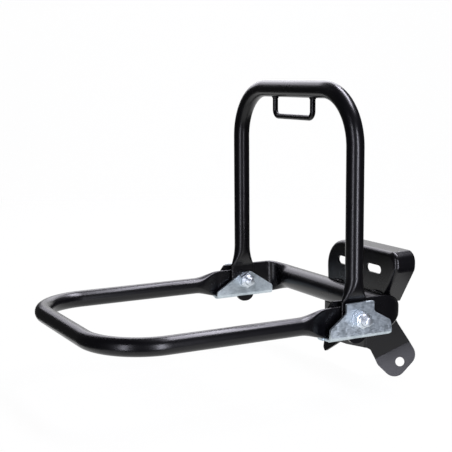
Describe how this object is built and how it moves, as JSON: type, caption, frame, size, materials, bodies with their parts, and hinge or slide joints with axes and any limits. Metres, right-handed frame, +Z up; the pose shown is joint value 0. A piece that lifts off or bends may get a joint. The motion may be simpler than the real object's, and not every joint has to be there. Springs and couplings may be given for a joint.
{
  "type": "scooter luggage rack",
  "caption": "Folding scooter rack: bent-tube tray and upright backrest hoop on zinc-plated hinge brackets, base tube with slotted upper plate and angled lower arm",
  "frame": {"origin": "middle of the upper plate's two slots, on the plate's front face", "axes": "+X from the tray's free end towards the vehicle side of the plates, +Y to the far side of the rack, +Z up with the hoop"},
  "size_m": [0.412, 0.3114, 0.3514],
  "materials": {
    "black_paint": "satin black powder coat on steel tube and sheet",
    "zinc_sheet": "bluish zinc plate on folded sheet steel",
    "zinc_hardware": "bluish zinc plate on bolts, nuts, washers and spacers",
    "nylon": "natural white nylon locking ring"
  },
  "bodies": {
    "rack": {"backrest_hoop": "black_paint", "strap_loop": "black_paint", "strap_loop_welds": "black_paint", "base_tube": "black_paint", "upper_plate": "black_paint", "upper_plate_welds": "black_paint", "lower_plate": "black_paint", "lower_plate_welds": "black_paint", "near_bracket": "zinc_sheet", "near_bolt": "zinc_hardware", "near_head_washer": "zinc_hardware", "near_hoop_washer": "zinc_hardware", "near_base_washer": "zinc_hardware", "near_spacer": "zinc_hardware", "near_nut_washer": "zinc_hardware", "near_lock_nut": "zinc_hardware", "near_nylon_ring": "nylon", "far_bracket": "zinc_sheet", "far_bolt": "zinc_hardware", "far_head_washer": "zinc_hardware", "far_hoop_washer": "zinc_hardware", "far_base_washer": "zinc_hardware", "far_spacer": "zinc_hardware", "far_nut_washer": "zinc_hardware", "far_lock_nut": "zinc_hardware", "far_nylon_ring": "nylon"},
    "tray": {"tray_frame": "black_paint"}
  },
  "joints": [
    {"name": "tray_fold", "type": "hinge", "parent": "rack", "child": "tray", "pos_m": [-0.06475, 0.0485, -0.0405], "axis": [0, 1, 0], "range_deg": [0, 28]}
  ]
}
